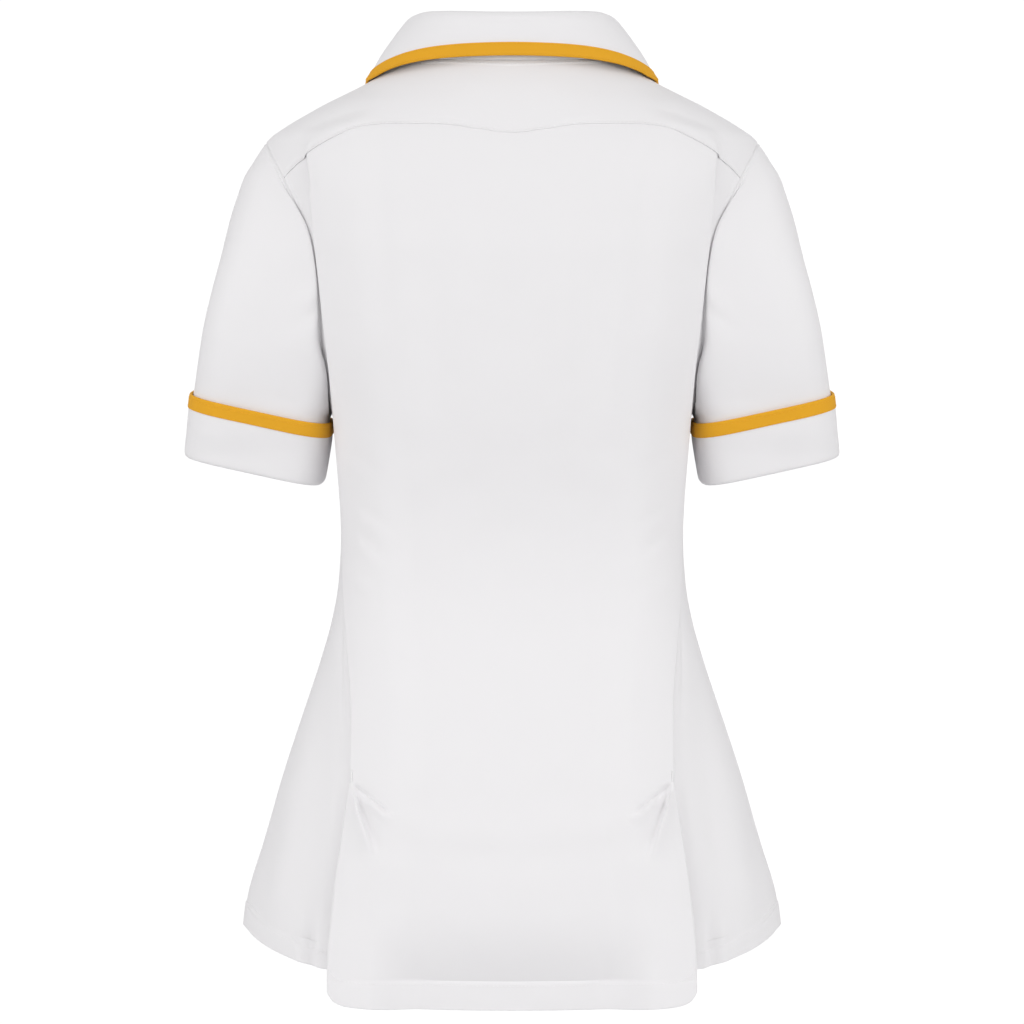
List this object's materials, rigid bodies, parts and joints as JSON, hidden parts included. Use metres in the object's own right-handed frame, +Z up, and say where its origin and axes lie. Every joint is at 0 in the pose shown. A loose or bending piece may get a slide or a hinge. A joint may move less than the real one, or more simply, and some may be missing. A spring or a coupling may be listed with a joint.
{
  "type": "medical tunic",
  "caption": "Hip-length short-sleeved healthcare tunic, filled out as worn, with a turned-down collar, a pleated and vented back and turned-back cuffs.",
  "frame": {"origin": "on the neck's axis, level with the collar seam at the nape, where the wearer's neck and shoulders hold the tunic up", "axes": "+Z up, -Y towards the front that the wearer faces, +X to the wearer's left"},
  "size_m": [0.5098, 0.2886, 0.7527],
  "materials": {
    "white_twill": "matt polyester and cotton twill",
    "yellow_tape": "matt woven trim"
  },
  "bodies": {
    "root": {"back_panel": "white_twill", "yoke": "white_twill", "side_back_left": "white_twill", "side_back_right": "white_twill", "front_left": "white_twill", "front_right": "white_twill", "lapel_left": "white_twill", "lapel_right": "white_twill", "collar": "white_twill", "collar_tape": "yellow_tape", "sleeve_left": "white_twill", "sleeve_right": "white_twill", "cuff_left": "white_twill", "cuff_right": "white_twill", "cuff_tape_left": "yellow_tape", "cuff_tape_right": "yellow_tape"}
  },
  "joints": []
}
